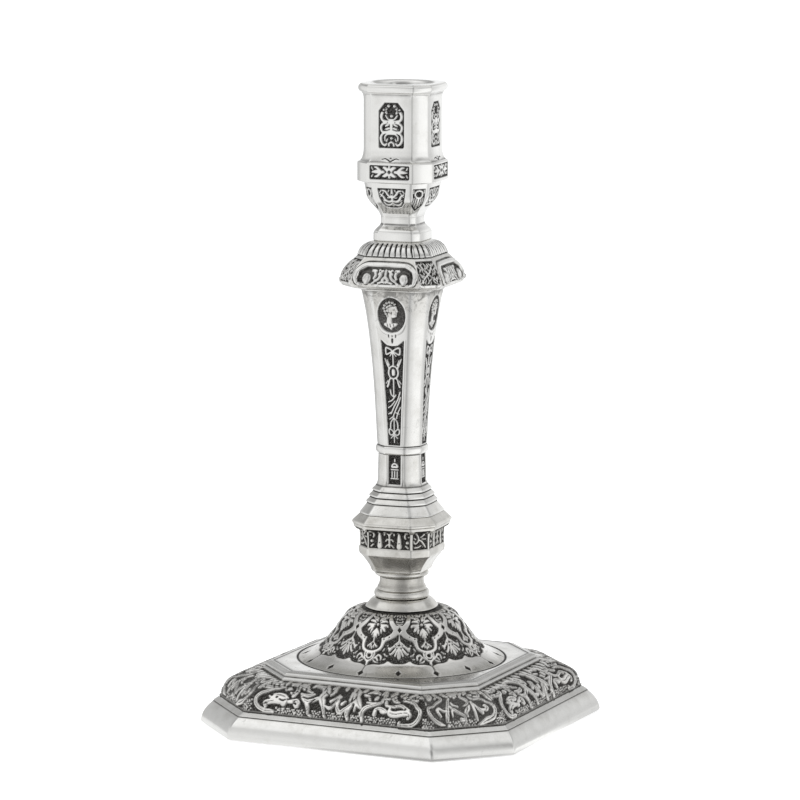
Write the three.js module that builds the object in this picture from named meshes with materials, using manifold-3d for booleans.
// A baroque candlestick with cut corners: silvered brass castings stacked on one tie bolt.
// Millimetres, +Z up. The origin is the middle of the felt that it stands on.

import * as THREE from 'three';
import { mergeVertices } from 'three/addons/utils/BufferGeometryUtils.js';
import Module from 'manifold-3d';

const wasm = await Module();
wasm.setup();

// Candle cup: the bore takes a 22 mm taper candle
const candleBore = 22.8;
const cupWall = 1.8;
const cupDepth = 31;
const cupLeadIn = 0.6;
const cupFaceShare = 0.625;
const rimOverhang = 1.5;
const rimHeight = 2.5;
const rimEdge = 0.8;
const rimCove = 2.8;
const cupBodyHeight = 19.4;
const cupFlareHeight = 5.3;
const beltOverhang = 2.1;
const beltHeight = 8;
const beltEdge = 0.4;
const beltFaceShare = 0.6;

// Calyx under the cup
const collarHeight = 2.8;
const collarOverhang = 2.7;
const collarSlope = 3.9;
const waistHalf = 6.6;
const waistHeight = 1.5;
const waistFaceShare = 0.76;
const bowlHeight = 10.3;
const bowlRimHeight = 4.5;
const bowlTuck = 2.4;
const bowlRimSpread = 0.7;

// Fluted cushion and the capital with its scroll cartouches
const cushionHeight = 5.7;
const cushionSpread = 5.4;
const cushionSeat = 0.6;
const reedsPerWideFace = 7;
const reedsPerCorner = 3;
const fluteWidth = 0.6;
const fluteDepth = 0.5;
const capitalSlope = 3.9;
const capitalSlopeSpread = 3.8;
const capitalFace = 5.1;
const capitalFaceSpread = 1.7;
const capitalUnderside = 4.1;
const capitalFaceShare = 0.68;
const cartoucheWidth = 24.6;
const cartoucheHeight = 8.4;
const cartoucheRidge = 1.4;
const cartoucheProud = 0.6;
const voluteRadius = 1.7;
const voluteInset = 1.2;

// Tapered shaft
const shaftHeight = 61.1;
const shaftFootHalf = 8.85;
const shaftSpread = 5.4;
const shaftCurve = 2.25;
const shaftFootShare = 0.44;
const shaftShareGain = 0.14;
const medallionWidth = 11.6;
const medallionHeight = 14.2;
const medallionDrop = 9.6;
const pendantGap = 1.4;
const pendantRadius = 0.8;
const trophyPanelTopGap = 4.6;
const trophyPanelDip = 2.4;
const trophyPanelTopWidth = 9.6;
const trophyPanelFootWidth = 5;
const trophyPanelFootGap = 0.8;

// Astragal band between the shaft and the stepped foot
const bandHeight = 3.6;
const bandBulge = 0.6;

// Stepped foot of the shaft
const pedestalHeight = 12.1;
const pedestalSpread = 0.8;
const pedestalFootShare = 0.5;
const stepCount = 3;
const stepHeight = 2.3;
const stepSpread = 1.25;
const stepNotch = 0.28;
const footSlopeHeight = 4.2;
const footSlopeSpread = 2.4;
const footFaceShare = 0.61;
const urnPanelWidth = 5;
const urnPanelMargin = 0.6;

// Knop with its lip and frieze
const lipSlope = 3.1;
const lipSlopeSpread = 2.4;
const lipEdge = 0.4;
const lipCove = 2.7;
const lipOverhang = 2.3;
const friezeHeight = 6.2;
const friezeLean = 0.4;
const knopMoulding = 3.6;
const knopMouldingBulge = 0.4;
const knopCove = 7.4;
const knopCoveBend = 1.5;
const knopFootHalf = 9.5;
const knopFaceShare = 0.63;
const knopFootShare = 0.72;

// Turned neck and the cut-corner skirt on the dome
const neckUpperRing = 2.6;
const neckWaistHeight = 3.9;
const neckLowerRing = 3.4;
const neckRingRadius = 10.7;
const neckWaistRadius = 8.7;
const neckRingTuck = 1.2;
const skirtHeight = 3.6;
const skirtHalf = 12.3;
const skirtTopHalf = 9.7;
const skirtEdge = 0.4;
const skirtFaceShare = 0.67;
const skirtTopShare = 0.414;

// Base, from its foot inwards and upwards
const plinthHalf = 66.9;
const plinthHeight = 10.2;
const plinthFaceHeight = 5;
const plinthFaceLean = 1.1;
const plinthSlope = 4.2;
const plinthSlopeSpread = 3.9;
const plinthSlopeBend = 1.6;
const plinthGroove = 0.3;
const plinthFaceShare = 0.642;
const plinthWall = 4;
const borderLedge = 1.3;
const borderHeight = 10.6;
const borderFoot = 0.9;
const borderSpread = 14.1;
const borderWall = 2.8;
const borderShare = 0.64;
const treadSeatWidth = 3.6;
const treadSeatDepth = 1;
const treadHeight = 4;
const treadBevel = 1.6;
const treadBevelTop = 1.1;
const treadBead = 0.35;
const treadUnderside = 1.4;
const wellRadius = 40.8;
const wellLine = 0.35;
const domeFootRadius = 34.6;
const domeSeatDepth = 1;
const domeHeight = 21.2;
const domeShoulder = 5;
const domeShoulderRadius = 23.2;
const domeTopRadius = 17;
const domeFillet = 1.8;
const domeWall = 2.6;
const domeRoof = 3;

// Tie bolt and what it clamps
const boltRadius = 3;
const boltEnd = 2;
const boltHeadRadius = 5.5;
const boltHeadHeight = 3.4;
const boltHeadCrown = 1.1;
const boltSlotWidth = 1.2;
const boltSlotDepth = 1.4;
const cupWasherRadius = 8;
const cupWasherThickness = 1.2;
const clampPlateRadius = 13;
const clampPlateThickness = 2;
const springWasherWidth = 2;
const springWasherThickness = 1.6;
const springWasherGap = 1;
const nutHalf = 5;
const nutHeight = 5;

// Spigots that register each casting on the one below
const spigotRadius = 5.4;
const spigotHeight = 1.6;

// Closure of the underside
const feltThickness = 1.2;
const feltInset = 1;
const standProud = 0.4;
const coverThickness = 1.2;
const coverMargin = 3.6;
const screwRadius = 1.5;
const screwHeadRadius = 2.3;
const screwLength = 4;
const screwEdgeDistance = 3.4;

// Fits, and the depth of every sunk ornament ground
const boltClearance = 0.4;
const seatClearance = 0.3;
const groundDepth = 0.5;
const groundMargin = 0.9;

// The castings above the dome stand turned a little on the base, as the bolt was tightened
const columnTurn = THREE.MathUtils.degToRad(5);

// Fineness of round forms, and room that a cutter needs beyond what it cuts
const roundSides = 36;
const boreSides = 16;
const ballSides = 10;
const ballRings = 6;
const curveSteps = 4;
const cutterReach = 6;
const weldDistance = 1e-4;

// Levels, each from the one below
const plinthBottom = standProud;
const plinthTop = plinthBottom + plinthHeight;
const borderTop = plinthTop + borderHeight;
const treadBottom = borderTop - treadSeatDepth;
const treadTop = treadBottom + treadHeight;
const domeBottom = treadTop - domeSeatDepth;
const domeTop = treadTop + domeHeight;
const skirtTop = domeTop + skirtHeight;
const neckTop = skirtTop + neckLowerRing + neckWaistHeight + neckUpperRing;
const knopTop = neckTop + knopCove + knopMoulding + friezeHeight + lipCove + lipEdge + lipSlope;
const footTop = knopTop + footSlopeHeight + stepCount * stepHeight + pedestalHeight;
const bandTop = footTop + bandHeight;
const shaftTop = bandTop + shaftHeight;
const capitalTop = shaftTop + capitalUnderside + capitalFace + capitalSlope;
const cushionTop = capitalTop + cushionHeight;
const bowlBottom = cushionTop + collarHeight + collarSlope + waistHeight;
const calyxTop = bowlBottom + bowlHeight + bowlRimHeight;
const beltTop = calyxTop + beltHeight;
const cupBodyTop = beltTop + cupFlareHeight + cupBodyHeight;
const cupTop = cupBodyTop + rimCove + rimHeight;
const cupFloor = cupTop - cupDepth;

// Half widths across the wide faces, each from the piece that it meets
const cupHalf = candleBore / 2 + cupWall;
const rimHalf = cupHalf + rimOverhang;
const beltHalf = cupHalf + beltOverhang;
const bowlRimHalf = beltHalf - bowlTuck;
const collarHalf = waistHalf + collarOverhang;
const cushionHalf = collarHalf + cushionSeat + cushionSpread;
const capitalEdgeHalf = cushionHalf + capitalSlopeSpread;
const capitalHalf = capitalEdgeHalf + capitalFaceSpread;
const shaftTopHalf = shaftFootHalf + shaftSpread;
const pedestalHalf = shaftFootHalf + pedestalSpread;
const footHalf = pedestalHalf + stepCount * (stepSpread - stepNotch) + footSlopeSpread;
const lipHalf = footHalf + lipSlopeSpread;
const friezeHalf = lipHalf - lipOverhang;
const plinthTopHalf = plinthHalf - plinthFaceLean - plinthSlopeSpread;
const borderHalf = plinthTopHalf - borderLedge;
const treadHalf = borderHalf - borderSpread - seatClearance;
const plinthHollowHalf = plinthTopHalf - plinthWall;
const coverHalf = plinthHalf - coverMargin;

// Turns a closed geometry into a solid that can be cut and joined
function solid(geometry) {
  const bare = geometry.index ? geometry.toNonIndexed() : geometry.clone();
  bare.deleteAttribute('normal');
  bare.deleteAttribute('uv');
  const merged = mergeVertices(bare, weldDistance);
  const corners = merged.index.array;
  const kept = [];
  for (let i = 0; i < corners.length; i += 3) {
    const [p, q, r] = corners.slice(i, i + 3);
    if (p !== q && q !== r && r !== p) kept.push(p, q, r);
  }
  const vertProperties = merged.attributes.position.array;
  const triVerts = new Uint32Array(kept);
  return new wasm.Manifold(new wasm.Mesh({ numProp: 3, vertProperties, triVerts }));
}

// The geometry of a finished solid
function geometryOf(body) {
  const mesh = body.getMesh();
  const geometry = new THREE.BufferGeometry();
  geometry.setAttribute('position', new THREE.BufferAttribute(mesh.vertProperties, 3));
  geometry.setIndex(new THREE.BufferAttribute(mesh.triVerts, 1));
  geometry.computeVertexNormals();
  return geometry;
}

// One level of an octagonal moulding: height, half width, and a wide face's share of that width
function at(z, half, share) {
  return { z, half, share };
}

// Levels between two others on a line that shape(t) bends: it returns how far height and width have gone
function between(from, to, steps, shape) {
  return Array.from({ length: steps - 1 }, (_, i) => {
    const t = (i + 1) / steps;
    const [up, out] = shape(t);
    return at(
      from.z + (to.z - from.z) * up,
      from.half + (to.half - from.half) * out,
      from.share + (to.share - from.share) * t,
    );
  });
}

// A quarter round that leaves the first level upright and meets the second one flat
function uprightFirst(from, to) {
  const shape = (t) => [Math.sin((t * Math.PI) / 2), 1 - Math.cos((t * Math.PI) / 2)];
  return [from, ...between(from, to, curveSteps, shape), to];
}

// A quarter round that leaves the first level flat and meets the second one upright
function flatFirst(from, to) {
  const shape = (t) => [1 - Math.cos((t * Math.PI) / 2), Math.sin((t * Math.PI) / 2)];
  return [from, ...between(from, to, curveSteps, shape), to];
}

// An ogee: upright at both ends
function ogee(from, to) {
  return [from, ...between(from, to, curveSteps + 1, (t) => [t, t * t * (3 - 2 * t)]), to];
}

// A half round that swells from both levels alike
function bulge(from, to, swell) {
  const levels = between(from, to, curveSteps + 1, (t) => [t, t]);
  const grown = levels.map((level, i) => {
    const t = (i + 1) / (curveSteps + 1);
    return at(level.z, level.half + swell * Math.sin(t * Math.PI), level.share);
  });
  return [from, ...grown, to];
}

// A solid with cut corners: an eight-sided lathe whose wide faces are set to their real length
function octagonal(levels) {
  const cornerFactor = 1 / Math.cos(Math.PI / 8);
  const closed = [{ ...levels[0], half: 0 }, ...levels, { ...levels.at(-1), half: 0 }];
  const outline = closed.map((level) => new THREE.Vector2(level.half * cornerFactor, level.z));
  const geometry = new THREE.LatheGeometry(outline, 8, Math.PI / 8);
  geometry.rotateX(Math.PI / 2);
  const place = geometry.attributes.position;
  for (let i = 0; i < place.count; i += 1) {
    const { half, share } = closed[i % closed.length];
    const x = place.getX(i);
    const y = place.getY(i);
    const wideInX = Math.abs(x) > Math.abs(y);
    place.setX(i, Math.sign(x) * half * (wideInX ? 1 : share));
    place.setY(i, Math.sign(y) * half * (wideInX ? share : 1));
  }
  return solid(geometry);
}

// The same levels with every face moved in by a depth, or out if the depth is negative
function sunk(levels, depth) {
  return levels.map(({ z, half, share }) => {
    const halfFace = half * share - depth * Math.tan(Math.PI / 8);
    return at(z, half - depth, halfFace / (half - depth));
  });
}

// A solid turned about the axis from its radii and heights
function turned(outline, sides = roundSides) {
  const points = outline.map(([radius, z]) => new THREE.Vector2(radius, z));
  const geometry = new THREE.LatheGeometry(points, sides);
  geometry.rotateX(Math.PI / 2);
  return solid(geometry);
}

function cylinder(radius, bottom, top, sides = roundSides) {
  return turned([[0, bottom], [radius, bottom], [radius, top], [0, top]], sides);
}

function ring(inner, outer, bottom, top) {
  const outline = [[inner, bottom], [outer, bottom], [outer, top], [inner, top], [inner, bottom]];
  return turned(outline, boreSides);
}

// The hole that lets the tie bolt through
function boltHole(bottom, top) {
  return cylinder(boltRadius + boltClearance, bottom - cutterReach, top + cutterReach, boreSides);
}

// A prism with cut corners
function block(half, share, bottom, top) {
  return octagonal([at(bottom, half, share), at(top, half, share)]);
}

// A flat outline, drawn across and up, pushed out through the face that looks along -Y, then turned
function throughFace(shape, turn, reach = capitalHalf + cutterReach) {
  const geometry = new THREE.ExtrudeGeometry(shape, { depth: reach, bevelEnabled: false, curveSegments: 6 });
  geometry.rotateX(Math.PI / 2);
  geometry.rotateZ(turn);
  return solid(geometry);
}

// Sinks ornament grounds into a moulded body: one outline on each of four faces, a quarter turn apart
function sinkGrounds(body, levels, shape, firstTurn = 0) {
  const core = octagonal(sunk(levels, groundDepth));
  let result = body;
  for (let face = 0; face < 4; face += 1) {
    const turn = firstTurn + (face * Math.PI) / 2;
    result = result.subtract(throughFace(shape, turn).subtract(core));
  }
  return result;
}

// Outlines of the ornament grounds
function rectangle(width, bottom, top) {
  return new THREE.Shape([
    new THREE.Vector2(-width / 2, bottom),
    new THREE.Vector2(width / 2, bottom),
    new THREE.Vector2(width / 2, top),
    new THREE.Vector2(-width / 2, top),
  ]);
}

function tapered(footWidth, topWidth, bottom, top) {
  return new THREE.Shape([
    new THREE.Vector2(-footWidth / 2, bottom),
    new THREE.Vector2(footWidth / 2, bottom),
    new THREE.Vector2(topWidth / 2, top),
    new THREE.Vector2(-topWidth / 2, top),
  ]);
}

function clippedPanel(width, bottom, top, clip) {
  return new THREE.Shape([
    new THREE.Vector2(-width / 2, bottom),
    new THREE.Vector2(width / 2, bottom),
    new THREE.Vector2(width / 2, top - clip),
    new THREE.Vector2(width / 2 - clip, top),
    new THREE.Vector2(-width / 2 + clip, top),
    new THREE.Vector2(-width / 2, top - clip),
  ]);
}

function oval(width, height, middle) {
  const shape = new THREE.Shape();
  shape.absellipse(0, middle, width / 2, height / 2, 0, 2 * Math.PI, false, 0);
  return shape;
}

function arch(width, bottom, top, radius) {
  const shape = new THREE.Shape();
  shape.moveTo(-width / 2, bottom);
  shape.lineTo(width / 2, bottom);
  shape.absarc(width / 2 - radius, top - radius, radius, 0, Math.PI / 2, false);
  shape.absarc(-width / 2 + radius, top - radius, radius, Math.PI / 2, Math.PI, false);
  return shape;
}

// Bores a casting for the tie bolt, opens it for the spigot below and gives it its own spigot
function stacked(body, bottom, top) {
  return body
    .add(cylinder(spigotRadius, top - spigotHeight, top + spigotHeight, boreSides))
    .subtract(boltHole(bottom, top))
    .subtract(spigotSeat(bottom));
}

function spigotSeat(bottom) {
  const top = bottom + spigotHeight + seatClearance;
  return cylinder(spigotRadius + seatClearance, bottom - cutterReach, top, boreSides);
}

// Candle cup: belt, flare, body and rolled rim around the bore
function candleSocket() {
  const flareStart = at(beltTop, beltHalf - beltEdge, beltFaceShare);
  const bodyFoot = at(beltTop + cupFlareHeight, cupHalf, cupFaceShare);
  const bodyHead = at(cupBodyTop, cupHalf, cupFaceShare);
  const rimFoot = at(cupBodyTop + rimCove, rimHalf - rimEdge / 2, cupFaceShare);
  const levels = [
    at(calyxTop, beltHalf - beltEdge, beltFaceShare),
    at(calyxTop + beltEdge, beltHalf, beltFaceShare),
    at(beltTop - beltEdge, beltHalf, beltFaceShare),
    ...flatFirst(flareStart, bodyFoot),
    ...uprightFirst(bodyHead, rimFoot),
    at(cupTop - rimHeight + rimEdge / 2, rimHalf, cupFaceShare),
    at(cupTop - rimEdge, rimHalf, cupFaceShare),
    at(cupTop, rimHalf - rimEdge, cupFaceShare),
  ];
  const beltWidth = 2 * (beltHalf * beltFaceShare - groundMargin);
  const belt = rectangle(beltWidth, calyxTop + groundMargin, beltTop - groundMargin);
  const cupWidth = 2 * (cupHalf * cupFaceShare - 3 * groundMargin);
  const panelClip = 3 * groundMargin;
  const panel = clippedPanel(cupWidth, beltTop + cupFlareHeight, cupBodyTop - 2 * groundMargin, panelClip);
  let body = octagonal(levels);
  body = sinkGrounds(body, levels, belt);
  body = sinkGrounds(body, levels, panel);
  return body
    .subtract(cylinder(candleBore / 2, cupFloor, cupTop + cutterReach))
    .subtract(leadIn())
    .subtract(boltHole(calyxTop, cupFloor))
    .subtract(spigotSeat(calyxTop));
}

// The cone that eases the mouth of the bore
function leadIn() {
  return turned([
    [0, cupTop - cupLeadIn],
    [candleBore / 2, cupTop - cupLeadIn],
    [candleBore / 2 + 2 * cupLeadIn, cupTop + cupLeadIn],
    [0, cupTop + cupLeadIn],
  ]);
}

// Calyx: collar, waist and bowl with a ground on each of its eight faces
function socketCalyx() {
  const waistBottom = bowlBottom - waistHeight;
  const bowlTop = bowlBottom + bowlHeight;
  const levels = [
    at(cushionTop, collarHalf, waistFaceShare),
    ...ogee(
      at(cushionTop + collarHeight, collarHalf, waistFaceShare),
      at(waistBottom, waistHalf, waistFaceShare),
    ),
    ...ogee(
      at(bowlBottom, waistHalf, waistFaceShare),
      at(bowlTop, bowlRimHalf - bowlRimSpread, beltFaceShare),
    ),
    at(calyxTop, bowlRimHalf, beltFaceShare),
  ];
  const groundTop = calyxTop - 2 * groundMargin;
  const wide = 2 * (bowlRimHalf * beltFaceShare - 2 * groundMargin);
  const narrow = Math.SQRT2 * bowlRimHalf * (1 - beltFaceShare) - 2 * groundMargin;
  const groundBottom = bowlBottom + bowlHeight / 3;
  let body = octagonal(levels);
  body = sinkGrounds(body, levels, tapered(wide / 2, wide, groundBottom, groundTop));
  body = sinkGrounds(body, levels, tapered(narrow / 3, narrow, groundBottom, groundTop), Math.PI / 4);
  return stacked(body, cushionTop, calyxTop);
}

// Cushion with reeds that fan out from the collar
function flutedCushion() {
  const top = new THREE.Vector2(collarHalf + cushionSeat, cushionTop);
  const crest = new THREE.Vector2(cushionHalf - cushionSpread / 3, cushionTop - cushionHeight / 4);
  const foot = new THREE.Vector2(cushionHalf, capitalTop);
  const outline = new THREE.QuadraticBezierCurve(foot, crest, top).getPoints(curveSteps);
  const levels = outline.map(({ x, y }) => at(y, x, capitalFaceShare));
  const core = octagonal(sunk(levels, fluteDepth));
  const halfFace = cushionHalf * capitalFaceShare;
  const turns = [];
  for (let reed = 0; reed <= reedsPerWideFace; reed += 1) {
    const along = halfFace * ((2 * reed) / reedsPerWideFace - 1);
    turns.push(Math.atan2(along, cushionHalf));
  }
  const cornerStart = turns.at(-1);
  const cornerSpan = Math.PI / 2 - 2 * cornerStart;
  for (let reed = 1; reed < reedsPerCorner; reed += 1) {
    turns.push(cornerStart + (cornerSpan * reed) / reedsPerCorner);
  }
  const slot = rectangle(fluteWidth, capitalTop - cutterReach, cushionTop - 2 * fluteDepth);
  let body = octagonal(levels);
  for (let face = 0; face < 4; face += 1) {
    for (const turn of turns) {
      body = body.subtract(throughFace(slot, turn + (face * Math.PI) / 2).subtract(core));
    }
  }
  return stacked(body, capitalTop, cushionTop);
}

// Capital: a raised scroll frame with two volutes on each wide face, a ground on each corner
function shoulderCapital() {
  const bellyLevel = shaftTop + capitalUnderside;
  const edgeLevel = bellyLevel + capitalFace;
  const levels = [
    ...flatFirst(
      at(shaftTop, shaftTopHalf + bandBulge, capitalFaceShare),
      at(bellyLevel, capitalHalf, capitalFaceShare),
    ),
    at(edgeLevel, capitalEdgeHalf, capitalFaceShare),
    at(capitalTop, cushionHalf, capitalFaceShare),
  ];
  const frameBottom = bellyLevel - capitalUnderside / 3;
  const frameTop = frameBottom + cartoucheHeight;
  const proud = octagonal(sunk(levels, -cartoucheProud));
  const frame = arch(cartoucheWidth, frameBottom, frameTop, cartoucheHeight / 2);
  const fieldWidth = cartoucheWidth - 2 * cartoucheRidge;
  const fieldBottom = frameBottom - cartoucheRidge;
  const field = arch(fieldWidth, fieldBottom, frameTop - cartoucheRidge, cartoucheHeight / 3);
  const cornerWidth = Math.SQRT2 * capitalEdgeHalf * (1 - capitalFaceShare) - 2 * groundMargin;
  const corner = rectangle(cornerWidth, bellyLevel - groundMargin, edgeLevel + groundMargin);
  const voluteX = fieldWidth / 2 - voluteRadius - voluteInset;
  let body = octagonal(levels);
  for (let face = 0; face < 4; face += 1) {
    body = body.add(throughFace(frame, (face * Math.PI) / 2).intersect(proud));
  }
  body = sinkGrounds(body, levels, field);
  body = sinkGrounds(body, levels, corner, Math.PI / 4);
  for (let face = 0; face < 4; face += 1) {
    for (const side of [-1, 1]) {
      const ball = new THREE.SphereGeometry(voluteRadius, ballSides, ballRings);
      ball.translate(side * voluteX, -(capitalHalf - voluteRadius / 2), bellyLevel + groundMargin);
      ball.rotateZ((face * Math.PI) / 2);
      body = body.add(solid(ball));
    }
  }
  return stacked(body, shaftTop, capitalTop);
}

// Half width and face share of the tapered shaft at a height
function shaftLevel(z) {
  const t = (z - bandTop) / shaftHeight;
  const half = shaftFootHalf + shaftSpread * t ** shaftCurve;
  return at(z, half, shaftFootShare + shaftShareGain * Math.sqrt(t));
}

// Shaft with an oval medallion, a pendant and a long trophy ground on each wide face
function taperedShaft() {
  const count = 2 * curveSteps;
  const levels = Array.from({ length: count + 1 }, (_, i) => shaftLevel(bandTop + (shaftHeight * i) / count));
  const medallionMiddle = shaftTop - medallionDrop;
  const medallionFoot = medallionMiddle - medallionHeight / 2;
  const panelTop = medallionFoot - trophyPanelTopGap + trophyPanelDip;
  const panel = new THREE.Shape();
  panel.moveTo(-trophyPanelFootWidth / 2, bandTop + trophyPanelFootGap);
  panel.lineTo(trophyPanelFootWidth / 2, bandTop + trophyPanelFootGap);
  panel.lineTo(trophyPanelTopWidth / 2, panelTop);
  panel.quadraticCurveTo(0, panelTop - 2 * trophyPanelDip, -trophyPanelTopWidth / 2, panelTop);
  const pendantMiddle = medallionFoot - pendantGap - pendantRadius;
  let body = octagonal(levels);
  body = sinkGrounds(body, levels, oval(medallionWidth, medallionHeight, medallionMiddle));
  body = sinkGrounds(body, levels, oval(2 * pendantRadius, 3 * pendantRadius, pendantMiddle));
  body = sinkGrounds(body, levels, panel);
  return stacked(body, bandTop, shaftTop);
}

function shaftBand() {
  const levels = bulge(
    at(footTop, shaftFootHalf, shaftFootShare),
    at(bandTop, shaftFootHalf, shaftFootShare),
    bandBulge,
  );
  return stacked(octagonal(levels), footTop, bandTop);
}

// Foot of the shaft: a short pedestal with an urn ground, then steps and a slope down to the lip
function steppedFoot() {
  const slopeTop = knopTop + footSlopeHeight;
  const stepsTop = slopeTop + stepCount * stepHeight;
  const shareAt = (z) => {
    const t = (z - knopTop) / (stepsTop - knopTop);
    return footFaceShare + (pedestalFootShare - footFaceShare) * t;
  };
  const levels = [at(knopTop, footHalf, footFaceShare)];
  let half = footHalf - footSlopeSpread;
  levels.push(at(slopeTop, half, shareAt(slopeTop)));
  for (let step = 0; step < stepCount; step += 1) {
    const bottom = slopeTop + step * stepHeight;
    half += stepNotch;
    levels.push(at(bottom + stepNotch, half, shareAt(bottom)));
    half -= stepSpread;
    levels.push(at(bottom + stepHeight, half, shareAt(bottom + stepHeight)));
  }
  const pedestalFoot = at(stepsTop + stepNotch, pedestalHalf, pedestalFootShare);
  const pedestalHead = at(footTop, shaftFootHalf - bandBulge / 2, shaftFootShare);
  levels.push(...between(pedestalFoot, pedestalHead, curveSteps, (t) => [t, 1 - (1 - t) ** 3]), pedestalHead);
  const groundBottom = stepsTop + 2 * urnPanelMargin;
  const ground = rectangle(urnPanelWidth, groundBottom, footTop - urnPanelMargin);
  const body = sinkGrounds(octagonal(levels), levels, ground);
  return stacked(body, knopTop, footTop);
}

// Knop: cove, moulding, frieze with eight grounds, and the overhanging lip
function friezeKnop() {
  const coveTop = neckTop + knopCove;
  const friezeBottom = coveTop + knopMoulding;
  const friezeTop = friezeBottom + friezeHeight;
  const lipBottom = friezeTop + lipCove;
  const coveFoot = new THREE.Vector2(knopFootHalf, neckTop);
  const coveBend = new THREE.Vector2(knopFootHalf + knopCoveBend, neckTop + knopCove / 2);
  const coveHead = new THREE.Vector2(friezeHalf - friezeLean, coveTop);
  const cove = new THREE.QuadraticBezierCurve(coveFoot, coveBend, coveHead).getPoints(curveSteps);
  const shareStep = (knopFaceShare - knopFootShare) / curveSteps;
  const levels = [
    ...cove.map(({ x, y }, i) => at(y, x, knopFootShare + i * shareStep)),
    ...bulge(
      at(coveTop, friezeHalf - friezeLean / 2, knopFaceShare),
      at(friezeBottom, friezeHalf - friezeLean / 2, knopFaceShare),
      knopMouldingBulge,
    ),
    at(friezeTop, friezeHalf, knopFaceShare),
    ...uprightFirst(at(friezeTop, friezeHalf, knopFaceShare), at(lipBottom, lipHalf, footFaceShare)).slice(1),
    at(lipBottom + lipEdge, lipHalf, footFaceShare),
    at(knopTop, footHalf, footFaceShare),
  ];
  const wide = 2 * (friezeHalf * knopFaceShare - groundMargin / 2);
  const narrow = Math.SQRT2 * friezeHalf * (1 - knopFaceShare) - groundMargin;
  const groundBottom = friezeBottom + groundMargin / 2;
  let body = octagonal(levels);
  body = sinkGrounds(body, levels, rectangle(wide, groundBottom, friezeTop));
  body = sinkGrounds(body, levels, rectangle(narrow, groundBottom, friezeTop), Math.PI / 4);
  return stacked(body, neckTop, knopTop);
}

// Turned neck: two rings and a waist
function neckSpool() {
  const lowerTop = skirtTop + neckLowerRing;
  const upperBottom = lowerTop + neckWaistHeight;
  const tuck = neckRingRadius - neckRingTuck;
  const lower = bulge(at(skirtTop, tuck, 1), at(lowerTop, tuck, 1), neckRingTuck);
  const upper = bulge(at(upperBottom, tuck, 1), at(neckTop, tuck, 1), neckRingTuck);
  const outline = [
    [0, skirtTop],
    ...lower.map(({ half, z }) => [half, z]),
    [neckWaistRadius, lowerTop + neckWaistHeight / 4],
    [neckWaistRadius, upperBottom - neckWaistHeight / 5],
    ...upper.map(({ half, z }) => [half, z]),
    [0, neckTop],
  ];
  return stacked(turned(outline), skirtTop, neckTop);
}

// Skirt that takes the neck down to the dome
function neckSkirt() {
  const levels = [
    at(domeTop, skirtHalf, skirtFaceShare),
    at(domeTop + skirtEdge, skirtHalf, skirtFaceShare),
    at(skirtTop, skirtTopHalf, skirtTopShare),
  ];
  return stacked(octagonal(levels), domeTop, skirtTop);
}

// Outline of the dome from its foot to the rounded shoulder, drawn in by a wall's thickness
function domeOutline(wall) {
  const shoulderFoot = domeTop - domeShoulder;
  const foot = [domeFootRadius - domeFillet - wall, treadTop + domeFillet];
  const shoulder = [domeShoulderRadius - wall, shoulderFoot];
  const side = [foot, shoulder];
  const top = Array.from({ length: 2 * curveSteps }, (_, i) => {
    const turn = ((i + 1) / (2 * curveSteps)) * (Math.PI / 2);
    const radius = domeTopRadius - wall + (domeShoulderRadius - domeTopRadius) * Math.cos(turn);
    return [radius, shoulderFoot + (domeShoulder - (wall > 0 ? domeRoof : 0)) * Math.sin(turn)];
  });
  return [...side, ...top];
}

function dome() {
  const outer = [
    [0, domeBottom],
    [domeFootRadius, domeBottom],
    [domeFootRadius, treadTop + wellLine],
    [domeFootRadius - (2 * domeFillet) / 3, treadTop + domeFillet / 3],
    ...domeOutline(0),
    [0, domeTop],
  ];
  const inner = [
    [0, domeBottom - cutterReach],
    [domeFootRadius - domeFillet - domeWall, domeBottom - cutterReach],
    ...domeOutline(domeWall),
    [0, domeTop - domeRoof],
  ];
  return turned(outer)
    .subtract(turned(inner))
    .add(cylinder(spigotRadius, domeTop - domeRoof / 2, domeTop + spigotHeight, boreSides))
    .subtract(boltHole(domeTop, domeTop));
}

// Tread: the level plate with its stepped edge, the seat of the dome and the line around the well
function treadPlate() {
  const bevelTop = treadTop - treadBevelTop;
  const topHalf = treadHalf - treadBevel;
  const levels = [
    at(treadBottom, treadHalf, borderShare),
    at(borderTop, treadHalf, borderShare),
    at(bevelTop, topHalf, borderShare),
    at(bevelTop, topHalf - treadBead, borderShare),
    at(bevelTop + treadBead, topHalf, borderShare),
    at(treadTop - treadBead, topHalf, borderShare),
    at(treadTop, topHalf - treadBead, borderShare),
  ];
  const pocketHalf = treadHalf - treadSeatWidth - treadBevel;
  const openRadius = domeFootRadius - domeFillet - domeWall;
  const groove = [
    [wellRadius, treadTop - wellLine],
    [wellRadius + wellLine, treadTop + wellLine],
    [wellRadius - wellLine, treadTop + wellLine],
    [wellRadius, treadTop - wellLine],
  ];
  return octagonal(levels)
    .subtract(cylinder(openRadius, treadBottom - cutterReach, treadTop + cutterReach))
    .subtract(cylinder(domeFootRadius + seatClearance, domeBottom, treadTop + cutterReach))
    .subtract(block(pocketHalf, borderShare, treadBottom - cutterReach, treadBottom + treadUnderside))
    .subtract(turned(groove));
}

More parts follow.
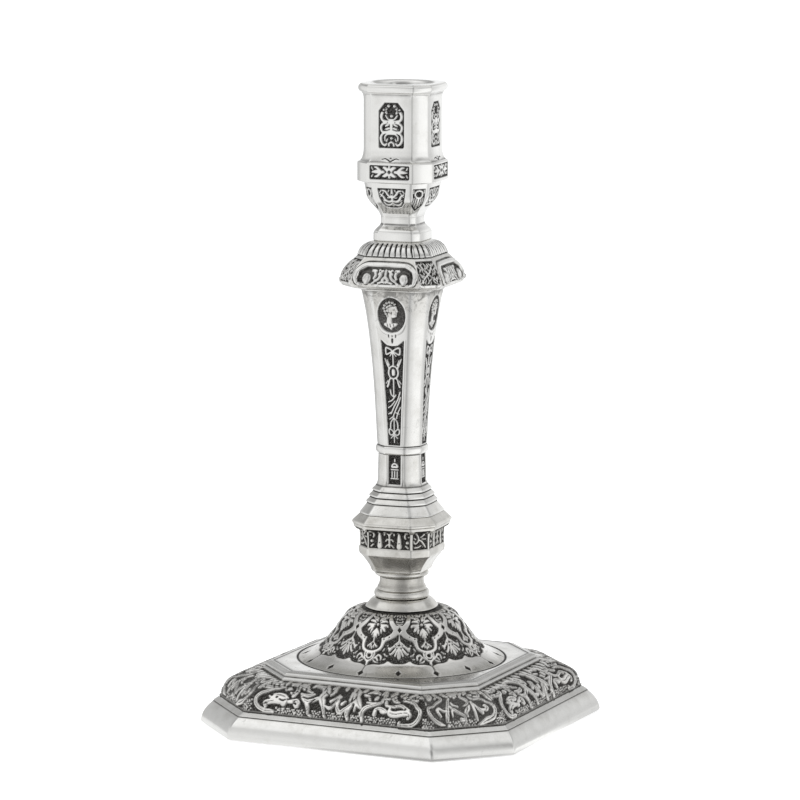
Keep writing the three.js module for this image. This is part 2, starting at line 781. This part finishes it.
// Border: the swelling ovolo that carries the large ornament
function ornamentBorder() {
  const seatHalf = treadHalf + seatClearance;
  const shell = (wall) => [
    ...uprightFirst(
      at(plinthTop + borderFoot, borderHalf - wall, borderShare),
      at(borderTop - wall, seatHalf - wall / 2, borderShare),
    ),
  ];
  const outer = [at(plinthTop, borderHalf, borderShare), ...shell(0)];
  const inner = [at(plinthTop - cutterReach, borderHalf - borderWall, borderShare), ...shell(borderWall)];
  const openHalf = treadHalf - treadSeatWidth;
  return octagonal(outer)
    .subtract(octagonal(inner))
    .subtract(block(seatHalf, borderShare, treadBottom, borderTop + cutterReach))
    .subtract(block(openHalf, borderShare, plinthTop, borderTop + cutterReach));
}

// Plinth: the plain frame that the whole base stands on, rebated below for the cover plate
function plinthFrame() {
  const faceTop = plinthBottom + plinthFaceHeight;
  const slopeTop = faceTop + plinthSlope;
  const faceTopHalf = plinthHalf - plinthFaceLean;
  const levels = [
    at(plinthBottom, plinthHalf, plinthFaceShare),
    ...uprightFirst(
      at(plinthBottom + plinthFaceHeight / 3, plinthHalf, plinthFaceShare),
      at(faceTop, faceTopHalf, plinthFaceShare),
    ),
    ...between(
      at(faceTop, faceTopHalf, plinthFaceShare),
      at(slopeTop, plinthTopHalf - plinthGroove, plinthFaceShare),
      curveSteps,
      (t) => [t, t ** plinthSlopeBend],
    ),
    at(slopeTop, plinthTopHalf - plinthGroove, plinthFaceShare),
    at(slopeTop + plinthGroove, plinthTopHalf, plinthFaceShare),
    at(plinthTop - plinthGroove, plinthTopHalf, plinthFaceShare),
    at(plinthTop, plinthTopHalf - plinthGroove, plinthFaceShare),
  ];
  const rebateTop = feltThickness + coverThickness;
  let body = octagonal(levels)
    .subtract(block(plinthHollowHalf, plinthFaceShare, plinthBottom - cutterReach, plinthTop + cutterReach))
    .subtract(block(coverHalf + seatClearance, plinthFaceShare, plinthBottom - cutterReach, rebateTop));
  const pilotRadius = screwRadius + seatClearance;
  const pilot = cylinder(pilotRadius, rebateTop - cutterReach, rebateTop + screwLength, boreSides);
  for (const [x, y] of screwPlaces()) {
    body = body.subtract(pilot.translate(x, y, 0));
  }
  return body;
}

// Middle of the ledge on each wide face, where a screw holds the cover
function screwPlaces() {
  const reach = coverHalf - screwEdgeDistance;
  return [[0, -reach], [reach, 0], [0, reach], [-reach, 0]];
}

function coverPlate() {
  const top = feltThickness + coverThickness;
  let plate = block(coverHalf, plinthFaceShare, feltThickness, top);
  const holeRadius = screwHeadRadius + seatClearance;
  const hole = cylinder(holeRadius, feltThickness - cutterReach, top + cutterReach, boreSides);
  for (const [x, y] of screwPlaces()) {
    plate = plate.subtract(hole.translate(x, y, 0));
  }
  return plate;
}

// A screw with a flat head, driven up into the plinth from below
function coverScrew() {
  const headTop = feltThickness + coverThickness;
  const tip = headTop + screwLength - seatClearance;
  return turned([
    [0, feltThickness],
    [screwHeadRadius, feltThickness],
    [screwHeadRadius, headTop - coverThickness / 2],
    [screwRadius, headTop],
    [screwRadius, tip - screwRadius],
    [0, tip],
  ], boreSides);
}

function feltPad() {
  return block(coverHalf - feltInset, plinthFaceShare, 0, feltThickness);
}

// Bolt from the cup floor down into the dome, with a slotted head
function tieBolt() {
  const seat = cupFloor + cupWasherThickness;
  const headTop = seat + boltHeadHeight;
  const end = domeTop - domeRoof - clampPlateThickness - springWasherThickness - nutHeight - boltEnd;
  const slot = new THREE.BoxGeometry(2 * boltHeadRadius + cutterReach, boltSlotWidth, 2 * boltSlotDepth);
  slot.translate(0, 0, headTop);
  return turned([
    [0, end],
    [boltRadius - boltEnd / 4, end],
    [boltRadius, end + boltEnd / 2],
    [boltRadius, seat],
    [boltHeadRadius, seat],
    [boltHeadRadius, headTop - boltHeadHeight / 2],
    [boltHeadRadius - boltHeadCrown, headTop],
    [0, headTop],
  ], boreSides).subtract(solid(slot));
}

function cupWasher() {
  return ring(boltRadius + boltClearance, cupWasherRadius, cupFloor, cupFloor + cupWasherThickness);
}

function clampPlate() {
  const top = domeTop - domeRoof;
  return ring(boltRadius + boltClearance, clampPlateRadius, top - clampPlateThickness, top);
}

function springWasher() {
  const top = domeTop - domeRoof - clampPlateThickness;
  const outer = boltRadius + boltClearance + springWasherWidth;
  const gap = new THREE.BoxGeometry(2 * outer, springWasherGap, 2 * cutterReach);
  gap.translate(outer, 0, top);
  return ring(boltRadius + boltClearance, outer, top - springWasherThickness, top).subtract(solid(gap));
}

// Six-sided nut
function hexNut() {
  const top = domeTop - domeRoof - clampPlateThickness - springWasherThickness;
  const cornerRadius = nutHalf / Math.cos(Math.PI / 6);
  const body = [[0, top - nutHeight], [cornerRadius, top - nutHeight], [cornerRadius, top], [0, top]];
  return turned(body, 6).subtract(boltHole(top - nutHeight, top));
}

// Finishes
const antiqueSilver = new THREE.MeshStandardMaterial({ color: 0xd2d0cb, metalness: 1, roughness: 0.28 });
const darkenedSilver = new THREE.MeshStandardMaterial({ color: 0x8f8d88, metalness: 1, roughness: 0.4 });
const zincSteel = new THREE.MeshStandardMaterial({ color: 0xb4b6b8, metalness: 1, roughness: 0.4 });
const greyFelt = new THREE.MeshStandardMaterial({ color: 0x2c2f2e, metalness: 0, roughness: 1 });

function piece(name, body, material) {
  const mesh = new THREE.Mesh(geometryOf(body), material);
  mesh.name = name;
  return mesh;
}

// Castings that stand above the dome
const column = new THREE.Group();
column.rotation.z = columnTurn;
column.add(
  piece('candle_socket', candleSocket(), antiqueSilver),
  piece('socket_calyx', socketCalyx(), antiqueSilver),
  piece('fluted_cushion', flutedCushion(), antiqueSilver),
  piece('shoulder_capital', shoulderCapital(), antiqueSilver),
  piece('tapered_shaft', taperedShaft(), antiqueSilver),
  piece('shaft_band', shaftBand(), antiqueSilver),
  piece('stepped_foot', steppedFoot(), antiqueSilver),
  piece('frieze_knop', friezeKnop(), antiqueSilver),
  piece('neck_spool', neckSpool(), antiqueSilver),
  piece('neck_skirt', neckSkirt(), antiqueSilver),
  piece('tie_bolt', tieBolt(), zincSteel),
  piece('cup_washer', cupWasher(), zincSteel),
);

const candlestick = new THREE.Group();
candlestick.add(
  column,
  piece('dome', dome(), darkenedSilver),
  piece('tread_plate', treadPlate(), antiqueSilver),
  piece('ornament_border', ornamentBorder(), darkenedSilver),
  piece('plinth_frame', plinthFrame(), antiqueSilver),
  piece('clamp_plate', clampPlate(), zincSteel),
  piece('spring_washer', springWasher(), zincSteel),
  piece('hex_nut', hexNut(), zincSteel),
  piece('cover_plate', coverPlate(), zincSteel),
  piece('felt_pad', feltPad(), greyFelt),
);
screwPlaces().forEach(([x, y], i) => {
  const screw = piece(`cover_screw_${i + 1}`, coverScrew(), zincSteel);
  screw.position.set(x, y, 0);
  candlestick.add(screw);
});

export default candlestick;
